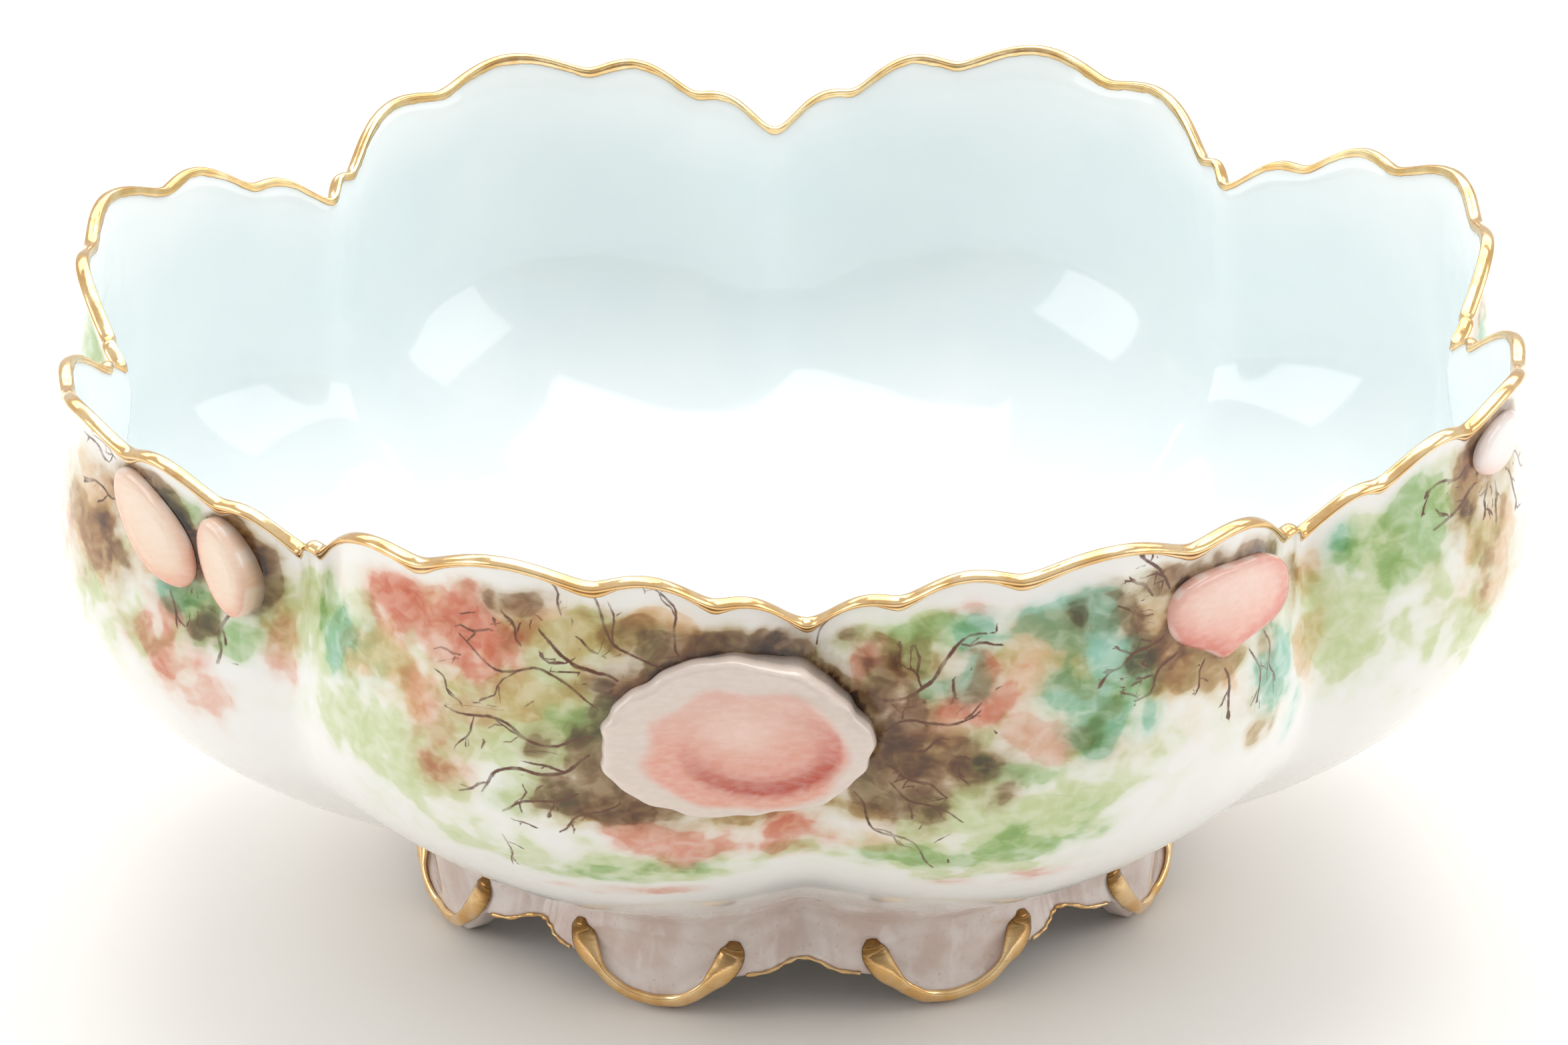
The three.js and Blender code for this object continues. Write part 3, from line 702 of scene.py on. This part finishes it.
def paint_wall(wall, points, outside):
    """Give the wall's outside the places of its enamels, of the painted shade around the shells, and of the seaweed
    lines.
    """
    painted = points[:outside]
    strayed = warp(painted)
    azimuth = np.degrees(np.arctan2(painted[:, 0], -painted[:, 1]))
    height = painted[:, 2]
    loose = (azimuth + strayed[:, 0] / DEGREE_MM, height + strayed[:, 1])
    below_rim = 0.25 + 0.75 * smooth(rim_height(azimuth) - loose[1], 2, 5.5)
    names = list(ENAMELS)
    gather = np.zeros((len(points), len(names)))
    for i, (colour, fields) in enumerate(ENAMELS.values()):
        gather[:outside, i] = gathered(*loose, fields) * below_rim
    # Painted shade around the shells, laid into the umber enamel and the darkest one
    for name, reach, strength in (("umber_and_shade", SHADOW_REACH, 0.95), ("shade", SHADE_REACH, 0.65)):
        shell_shade = strength * shell_shadow(azimuth, height, reach)
        column = gather[:outside, names.index(name)]
        column[:] = np.maximum(column, shell_shade)
    for i in range(0, len(names), 3):
        attach(wall, f"enamel_{i // 3}", gather[:, i:i + 3])
    sprigs = seaweed()
    for level in range(SEAWEED_LEVELS):
        field = np.tile((50.0, 0.0, 0.0), (len(points), 1))
        field[:outside] = seaweed_field(azimuth, height, level, sprigs)
        attach(wall, f"seaweed_{level}", field)


# ---- Gilding on the rim ----

# Across the gilding's outside: millimetres down from the rim, how far it stands out, and how much painted shade browns
# the gold there
RIM_BAND = [
    (1.7, -0.2, 0.3), (1.68, 0.04, 0.3), (1.45, 0.14, 0), (1.2, 0.15, 0), (0.98, 0.1, 0.5), (0.82, 0.04, 1),
    (0.66, 0.08, 0.9), (0.5, 0.2, 0.3), (0.3, 0.3, 0), (0.12, 0.33, 0),
]
RIM_INSIDE = [(0.5, 0.3, 0), (1.1, 0.24, 0), (1.6, 0.1, 0.2), (1.7, -0.2, 0.3), (0.8, -0.2, 0), (0.1, -0.2, 0)]
RIM_BEAD = 0.34  # the bead on the lip stands out this much
T_PER_MM = 0.0265


def band_wander(azimuth, uneven):
    """How much deeper the gilding reaches: a brushed edge, and a wider band where two scallops meet."""
    return 0.16 * uneven - 0.7 + 1.1 * (1 - scallop(azimuth)[1]) ** 2


def build_rim_gilding(gold):
    azimuth = np.arange(COLUMNS * 2) * 180 / COLUMNS - 180
    uneven = [noise.noise(Vector(p / 3.5)) + 0.6 * noise.noise(Vector(p / 1.2)) for p in polar(azimuth, 120.0, 0.0)]
    wander = band_wander(azimuth, np.array(uneven))
    rings, gold_shade = [], []
    for down, out, shading in RIM_BAND:
        reach = down + wander * smooth(np.array(down), 0.2, 1.5)
        rings.append(beside_wall(azimuth, 1 - reach * T_PER_MM, out))
        gold_shade.append(shading)
    for turn in np.linspace(0, np.pi, 9):
        out = LIP_THICKNESS / 2 * (np.cos(turn) - 1) + RIM_BEAD * np.cos(turn)
        rings.append(beside_wall(azimuth, 1.0, out, (LIP_RISE + 0.2) * np.sin(turn)))
        gold_shade.append(0)
    for down, out, shading in RIM_INSIDE:
        reach = down + 0.2 * np.array(uneven) * smooth(np.array(down), 0.8, 1.6)
        rings.append(beside_wall(azimuth, 1 - reach * T_PER_MM, -LIP_THICKNESS - out))
        gold_shade.append(shading)
    for down in (0.1, 1.2):
        rings.append(beside_wall(azimuth, 1 - down * T_PER_MM, -0.2))
        gold_shade.append(0)
    faces = ring_faces(len(rings), len(azimuth), loop=True)
    piece = mesh_piece("rim_gilding", np.concatenate(rings), faces, [gold])
    # Painted shade on the gold, ring by ring, which the gold's material reads
    attach(piece, "gold_shade", np.repeat(gold_shade, len(azimuth))[:, None] * np.ones(3))
    return finish_piece(piece, "gilding", "rim_gilding")


# ---- The foot ring ----


def foot_edge(azimuth):
    """Height of the foot ring's lower edge."""
    offset = from_crease(azimuth)
    t = np.interp(offset, FOOT_EDGE[:, 0], np.linspace(0, 1, len(FOOT_EDGE)))
    return np.maximum(0, spline(FOOT_EDGE[:, 1], t))


def foot_radius(azimuth, height):
    drop = np.clip(1 - height / FOOT_HEIGHT, 0, 1)
    on_foot = smooth(from_crease(azimuth), SKIRT_END, FOOT_START)
    share = crease_share(azimuth, 0.5)
    top = FOOT_TOP_LOBE + (FOOT_TOP_CREASE - FOOT_TOP_LOBE) * share
    flare = (SKIRT_FLARE + CREASE_FLARE * share) * drop
    over_edge = height - foot_edge(azimuth)
    lip = LIP_FLARE * (1 - 0.85 * smooth(from_crease(azimuth), 15, 21)) * smooth(over_edge, 5.5, 2.0)
    curl = SOLE_ROUNDING * smooth(over_edge, 2.2, -0.4) - lip
    return top + (1 - on_foot) * flare - on_foot * (FOOT_TAPER * drop**2 + curl)


def foot_detail(azimuth, height):
    """Moulded relief on the foot ring's outside, in mm."""
    offset = from_crease(azimuth)
    on_foot = smooth(offset, SKIRT_END, FOOT_START)
    ridge = 15.3 - 2.2 * (1 - smooth(offset, 9, 20))
    moulding = 0.35 * np.exp(-(((height - ridge) / 0.8) ** 2)) * smooth(offset, 6.5, 10)
    panel = -0.35 * smooth(height, ridge - 0.4, ridge - 1.6) * on_foot
    ribs = 0.16 * np.cos(azimuth * 2 * np.pi / 1.9) * (1 - smooth(offset, 4, 7)) * smooth(height, 17, 11)
    return moulding + panel + ribs


def foot_normal(azimuth, height):
    def at(a, h):
        return polar(a, foot_radius(a, h), h)

    around = at(azimuth + 0.2, height) - at(azimuth - 0.2, height)
    up = at(azimuth, height + 0.1) - at(azimuth, height - 0.1)
    normal = np.cross(around, up)
    return normal / np.linalg.norm(normal, axis=-1, keepdims=True)


def underside(azimuth, radius):
    """Height of the wall's outside at a radius near the foot."""
    share = crease_share(azimuth)
    t = np.linspace(0.1, 0.6, 501)[:, None]
    radii = spline(LOBE_RADII, t) + (spline(CREASE_RADII, t) - spline(LOBE_RADII, t)) * share
    heights = np.broadcast_to(spline(HEIGHTS, t), radii.shape)
    return np.array([np.interp(r, radii[:, i], heights[:, i]) for i, r in enumerate(radius)])


def build_foot_ring(lustre):
    azimuth = np.arange(720) * 0.5
    edge = foot_edge(azimuth)
    top_radius = foot_radius(azimuth, np.full(azimuth.shape, FOOT_HEIGHT))
    fillet = 5.0
    top = underside(azimuth, top_radius + fillet)
    rings = []
    for share in np.linspace(0.03, 1, 26):
        height = edge + 0.5 + (top - edge - 0.5) * share
        flare = smooth(height, top - 6.5, top) ** 2 * fillet
        radius = foot_radius(azimuth, height) + flare + foot_detail(azimuth, height) * (1 - smooth(height, top - 5, top - 2))
        rings.append(polar(azimuth, radius - 0.25 * (share > 0.99), height + 0.25 * (share > 0.99)))
    inner_top = underside(azimuth, top_radius - FOOT_THICKNESS) + 0.8
    for share in np.linspace(1, 0.05, 8):
        height = edge + 0.5 + (inner_top - edge - 0.5) * share
        rings.append(polar(azimuth, foot_radius(azimuth, height) - FOOT_THICKNESS, height))
    low = edge + 0.5
    for out, drop in ((FOOT_THICKNESS - 0.2, 0.28), (FOOT_THICKNESS - 0.7, 0.5), (0.7, 0.5), (0.2, 0.28)):
        rings.append(polar(azimuth, foot_radius(azimuth, low) - out, low - drop))
    rings = np.stack(rings)
    piece = mesh_piece("foot_ring", rings.reshape(-1, 3), ring_faces(len(rings), 720, loop=True), [lustre])
    return finish_piece(piece, "lustre_porcelain", "foot_ring")


def band(name, path, depth, gold, sides=16):
    """A closed band on the foot ring along a path of (azimuth, height, half width, depth share, painted shade on the
    gold).
    """
    azimuth, height, half_width, bulge, gold_shade = path.T
    surface = polar(azimuth, foot_radius(azimuth, height) + foot_detail(azimuth, height), height)
    normal = foot_normal(azimuth, height)
    forward = np.gradient(surface, axis=0)
    side = np.cross(forward, normal)
    side /= np.linalg.norm(side, axis=-1, keepdims=True)
    rings = []
    for turn in np.linspace(0, 2 * np.pi, sides, endpoint=False):
        out = np.where(np.sin(turn) > 0, depth * bulge * np.sin(turn), 0.3 * np.sin(turn))
        rings.append(surface + side * (half_width * math.cos(turn))[:, None] + normal * (out + 0.1)[:, None])
    rings = np.stack(rings, 1)
    piece = mesh_piece(name, with_hubs(rings), closed_faces(len(rings), sides), [gold])
    gold_shade = np.append(np.repeat(gold_shade, sides), gold_shade[[0, -1]])
    attach(piece, "gold_shade", gold_shade[:, None] * np.ones(3))
    return piece


def smoothed(path, steps):
    t = np.linspace(0, 1, (len(path) - 1) * steps + 1)
    return np.stack([spline(path[:, k], t) for k in range(path.shape[1])], -1)


def build_foot_gilding(gold):
    bulge = np.array([0.5, 1.2, 1.5, 1.5, 1.3, 1.1, 1.0, 1.1])
    # Painted shade and reflection on the foot's gold, heaviest at the scroll's head
    gold_shade = np.array([0.9, 0.9, 0.5, 0.1, 0, 0, 0, 0])
    half = np.column_stack([FOOT_BAND, bulge, gold_shade])
    far = half[:-1][::-1].copy()
    far[:, 0] = LOBE - far[:, 0]
    hook = np.vstack([half, far])
    for lobe in range(8):
        path = smoothed(hook, 9)
        path[:, 0] += lobe * LOBE
        path[0, 2] = path[-1, 2] = 0.12
        name = f"foot_gilding_{lobe + 1}"
        finish_piece(band(name, path, 0.75, gold), "gilding", name)
        offset = np.linspace(-ARCH_REACH - 2, ARCH_REACH + 2, 45)
        height = foot_edge(offset + lobe * LOBE) + 0.3
        width = 0.3 + 0.08 * np.sin(offset * 2.3)
        # Some painted shade all along each arch's gold
        arch = np.column_stack([offset + lobe * LOBE, height, width, np.ones(len(offset)), np.full(len(offset), 0.3)])
        name = f"arch_gilding_{lobe + 1}"
        finish_piece(band(name, arch, 0.25, gold, 10), "gilding", name)


# ---- The moulded shells ----

# Height of each kind of shell over the wall: share of the way out, height
SHELL_FORMS = {
    "oyster": [(0, 2.2), (0.5, 2.2), (0.8, 2.3), (0.92, 2.4), (0.97, 2.05), (0.99, 1.4), (1, 0.3)],
    "mussel": [(0, 1.6), (0.5, 1.5), (0.78, 1.2), (0.91, 0.85), (0.965, 0.5), (0.99, 0.15), (1, -0.1)],
    "clam": [(0, 1.8), (0.5, 1.75), (0.8, 1.6), (0.92, 1.35), (0.965, 1.0), (0.99, 0.4), (1, -0.1)],
}
SHELL_SIDES = 144
SHELL_RINGS = np.concatenate([[1.0, 1.0, 0.995, 0.985, 0.97, 0.95, 0.92], np.linspace(0.88, 0.04, 24)])
SHELL_ROOT = -1.0  # the skirt under a shell's edge reaches this far into the glaze
HOLLOW = (3.6, -0.6, 12.6, 7.6)  # of the oyster: middle along and across, half length, half width
HOLLOW_DEPTH = 1.2
CREASE_FILL = 0.55

# Enamel on each kind of shell: palest, full and deepest colour
SHELL_TONES = {
    "mussel": ("#efdac6", "#eac0a2", "#dc8f77"),
    "clam": ("#ecc9bb", "#e59a88", "#cc6a58"),
    "cockle": ("#f2f0ee", "#eeddd6", "#e6a797"),
}
# Painted highlight: the white of the broken glints along each shell's edge
GLINT_WHITE = "#f7efe8"


def filled_point(azimuth, t):
    """A point of the wall with its creases filled, as a shell bridges them."""
    share = crease_share(azimuth)
    capped = CREASE_FILL - 0.1 * np.log1p(np.exp((CREASE_FILL - share) / 0.1))
    lobe, crease = spline(LOBE_RADII, t), spline(CREASE_RADII, t)
    height = wall_point(azimuth, t)[..., 2]
    return polar(azimuth, lobe + (crease - lobe) * capped, height)


def filled_normal(azimuth, t):
    around = filled_point(azimuth + 0.4, t) - filled_point(azimuth - 0.4, t)
    up = filled_point(azimuth, np.minimum(1, t + 0.004)) - filled_point(azimuth, t - 0.004)
    normal = np.cross(around, up)
    return normal / np.linalg.norm(normal, axis=-1, keepdims=True)


def oyster_relief(along, across, share, angle):
    """The oyster's hollow, deepest under the lip at its lower edge, and the crinkles of its rim."""
    x, y, half_long, half_wide = HOLLOW
    u, v = (along - x) / half_long, (across - y) / half_wide
    reach = np.hypot(u, v)
    low = np.clip(0.5 + 0.5 * (0.45 * u - v), 0, 1)
    hollow = HOLLOW_DEPTH * smooth(reach, 1.05, 0.74) * (0.35 + 0.65 * low)
    lip = 0.55 * low * np.exp(-(((reach - 1.1) / 0.07) ** 2))
    crinkle = 0.22 * smooth(np.array(share), 0.8, 0.95) * np.sin(11 * angle) * np.sin(5 * angle + 1)
    return lip + crinkle - hollow


def oyster_tint(along, across, share):
    """Cream shell round a salmon field, and a hollow that is deepest at its lower edge and right end, in deep salmon
    with painted shade under its lip.
    """
    x, y, half_long, half_wide = HOLLOW
    u, v = (along - x) / half_long, (across - y) / half_wide
    reach = np.hypot(u, v)
    wavy = 0.03 * np.sin(0.55 * along + 1) + 0.03 * np.sin(0.8 * across + 0.35 * along)
    field = smooth((np.abs((along - 1.5) / 15.8) ** 2.6 + np.abs((across + 1.1) / 9.8) ** 2.6) ** (1 / 2.6) + wavy, 1.0, 0.88)
    inside = smooth(reach, 1.03, 0.97)
    low = np.clip(0.42 + 0.6 * (0.5 * u - v), 0, 1)
    # Deep salmon enamel with painted shade, in the hollow under its lower lip
    shaded_crescent = inside * smooth(reach, 0.5, 1.0) * low
    pale = smooth(np.hypot((along - 0.5) / 8, (across - 1.5) / 4.5), 1.2, 0.2)
    tones = ("#dccdc3", "#e29c88", "#bd4f3e", "#e9c6b8")
    cream, blush, deep, light = (np.array(linear(tone)) for tone in tones)
    upper = 0.55 + 0.35 * smooth(across, 7, -3)
    colour = cream + (blush - cream) * (field * upper)[..., None]
    colour = colour + (light - colour) * (pale * 0.85)[..., None]
    return colour + (deep - colour) * (shaded_crescent * 0.95)[..., None]


def plain_tint(kind, along, across, share, half):
    """An enamel that is palest along the middle and deeper towards the lower edge and the far end, with broken painted
    highlights of white along its edge.
    """
    pale, full, deep = (np.array(linear(c)) for c in SHELL_TONES[kind])
    low = smooth(across / half[1], 0.3, -1.0)
    far = smooth(along / half[0], 0.0, 1.0)
    rim = smooth(share, 0.55, 1.0)
    colour = pale + (full - pale) * np.clip(0.75 * low + 0.5 * far + 0.3 * rim, 0, 1)[..., None]
    colour = colour + (deep - colour) * np.clip(rim * (0.15 + 0.6 * low + 0.35 * far), 0, 0.85)[..., None]
    # Painted highlight: broken white glints along the shell's edge
    broken = smooth(np.sin(1.1 * along + 0.7 * across), -0.2, 0.8)
    edge = 0.5 * broken * smooth(share, 0.95, 0.98)
    return colour + (linear(GLINT_WHITE) - colour) * np.asarray(edge)[..., None]


def shell_ring(shell, share, edge, angle):
    """One ring of a shell's points and its colours: edge is 0 on the skirt's foot and 1 elsewhere."""
    kind, half = shell["kind"], shell["half"]
    reach = share * OUTLINES[kind](angle)
    along, across = half[0] * reach * np.cos(angle), half[1] * reach * np.sin(angle)
    there, up = shell_place(shell, along, across)
    t = wall_t(there, up)
    lift = np.interp(share, *zip(*SHELL_FORMS[kind]))
    if kind == "oyster":
        lift = lift + oyster_relief(along, across, share, angle)
    ground = filled_point(there, t)
    points = ground + filled_normal(there, t) * np.broadcast_to(lift, angle.shape)[:, None]
    if not edge:
        points = beside_wall(there, t, SHELL_ROOT)
    tone = shell.get("tone", kind)
    if tone == "oyster":
        return points, oyster_tint(along, across, share)
    return points, plain_tint(tone, along, across, share, half)


def build_shell(name, shell, material):
    angle = np.linspace(0, 2 * np.pi, SHELL_SIDES, endpoint=False)
    rings = [shell_ring(shell, share, i > 0, angle) for i, share in enumerate(SHELL_RINGS)]
    points, tints = (np.stack(part) for part in zip(*rings))
    piece = mesh_piece(name, with_hubs(points), closed_faces(len(points), SHELL_SIDES), [material])
    attach(piece, "tint", with_hubs(tints))
    return finish_piece(piece, "shell_enamel", name)


# ---- Stage, lights and camera ----

CAMERA_DISTANCE = 1384.7  # from the middle of the rim's notches
CAMERA_AZIMUTH = -1.17
CAMERA_ELEVATION = 21.56
CAMERA_ROLL = -0.0094
FOCAL_SHARE = 12375 / 2352  # focal length over the picture's width
AIM_DOWN = 1.13  # degrees by which the view's axis passes under the middle of the notches
AIM_LEFT = 0.04
SENSOR = 36.0


def build_camera():
    azimuth, elevation = math.radians(CAMERA_AZIMUTH), math.radians(CAMERA_ELEVATION)
    target = Vector((0, 0, NOTCH_HEIGHT * MM))
    back = Vector((math.sin(azimuth) * math.cos(elevation), -math.cos(azimuth) * math.cos(elevation), math.sin(elevation)))
    data = bpy.data.cameras.new("camera")
    data.lens = FOCAL_SHARE * SENSOR
    data.sensor_width = SENSOR
    data.clip_start, data.clip_end = 0.05, 60
    camera = bpy.data.objects.new("camera", data)
    camera.location = target + back * CAMERA_DISTANCE * MM
    straight = (-back).to_track_quat("-Z", "Y").to_matrix().to_4x4()
    from mathutils import Matrix
    roll = Matrix.Rotation(CAMERA_ROLL, 4, "Z")
    pitch = Matrix.Rotation(-math.radians(AIM_DOWN), 4, "X")
    yaw = Matrix.Rotation(math.radians(AIM_LEFT), 4, "Y")
    camera.matrix_world = Matrix.Translation(camera.location) @ straight @ roll @ pitch @ yaw
    bpy.context.scene.collection.objects.link(camera)
    bpy.context.scene.camera = camera


def build_floor():
    nodes = Nodes("pale_floor")
    colour = nodes.mix(nodes.noise(0.01, 2), rgba("#f4f1ec"), rgba("#f7f5f1"))
    nodes.set("Base Color", colour)
    nodes.set("Roughness", nodes.between(nodes.noise(0.02, 2), 0.2, 0.8, 0.55, 0.7))
    size = 6000.0
    corners = np.array([(-size, -size, 0), (size, -size, 0), (size, size, 0), (-size, size, 0)])
    floor = mesh_piece("floor", corners, [(0, 1, 2, 3)], [nodes.material])


def add_light(name, place, target, size, power, colour=(1, 1, 1)):
    data = bpy.data.lights.new(name, "AREA")
    data.shape = "RECTANGLE"
    data.size, data.size_y = size
    data.energy = power
    data.color = colour
    light = bpy.data.objects.new(name, data)
    light.location = place
    light.rotation_mode = "QUATERNION"
    light.rotation_quaternion = (Vector(target) - Vector(place)).to_track_quat("-Z", "Y")
    bpy.context.scene.collection.objects.link(light)


ROOM = ((0.0, (0.30, 0.28, 0.26)), (0.42, (0.55, 0.53, 0.50)), (0.62, (1.0, 1.0, 1.0)))  # darkness to light
BACKDROP = (1.3, 1.3, 1.3, 1)
WORLD_STRENGTH = 0.8


def build_world():
    """A white tent that is open towards the darker room behind the camera."""
    world = bpy.data.worlds.new("studio")
    bpy.context.scene.world = world
    world.use_nodes = True
    tree = world.node_tree
    tree.nodes.clear()
    place = tree.nodes.new("ShaderNodeTexCoord")
    lean = tree.nodes.new("ShaderNodeVectorMath")
    lean.operation = "DOT_PRODUCT"
    lean.inputs[1].default_value = (0, 0.45, 0.9)
    tree.links.new(place.outputs["Generated"], lean.inputs[0])
    level = tree.nodes.new("ShaderNodeMath")
    level.operation = "MULTIPLY_ADD"
    level.inputs[1].default_value = 0.5
    level.inputs[2].default_value = 0.5
    tree.links.new(lean.outputs["Value"], level.inputs[0])
    ramp = tree.nodes.new("ShaderNodeValToRGB")
    ramp.color_ramp.elements.new(ROOM[1][0])
    for element, (position, colour) in zip(ramp.color_ramp.elements, ROOM):
        element.position = position
        element.color = (*colour, 1)
    tree.links.new(level.outputs[0], ramp.inputs[0])
    seen = tree.nodes.new("ShaderNodeLightPath")
    mix = tree.nodes.new("ShaderNodeMix")
    mix.data_type = "RGBA"
    tree.links.new(seen.outputs["Is Camera Ray"], mix.inputs[0])
    tree.links.new(ramp.outputs[0], mix.inputs[6])
    mix.inputs[7].default_value = BACKDROP
    background = tree.nodes.new("ShaderNodeBackground")
    background.inputs["Strength"].default_value = WORLD_STRENGTH
    tree.links.new(mix.outputs[2], background.inputs["Color"])
    output = tree.nodes.new("ShaderNodeOutputWorld")
    tree.links.new(background.outputs[0], output.inputs[0])


def build_light():
    build_world()
    add_light("overhead", (0.1, 0.35, 1.5), (0, 0, 0.05), (1.3, 1.0), 11)
    add_light("left_box", (-1.5, -0.4, 0.9), (0, 0, 0.06), (1.0, 0.9), 6)
    add_light("right_box", (1.5, -0.2, 0.9), (0, 0, 0.06), (1.0, 0.9), 5)
    add_light("back_wash", (0, 1.3, 1.2), (0, 0.9, 0), (2.6, 0.8), 14)
    bpy.context.scene.view_settings.view_transform = "Standard"


# ---- Assembly ----

build_camera()
build_floor()
build_light()
gold = gold_material()
build_wall()
build_rim_gilding(gold)
build_foot_ring(lustre_material())
build_foot_gilding(gold)
enamel = shell_material()
for shell_name, front in SHELLS.items():
    build_shell(f"{shell_name}_front", front, enamel)
    build_shell(f"{shell_name}_back", {**front, "azimuth": front["azimuth"] + 180}, enamel)
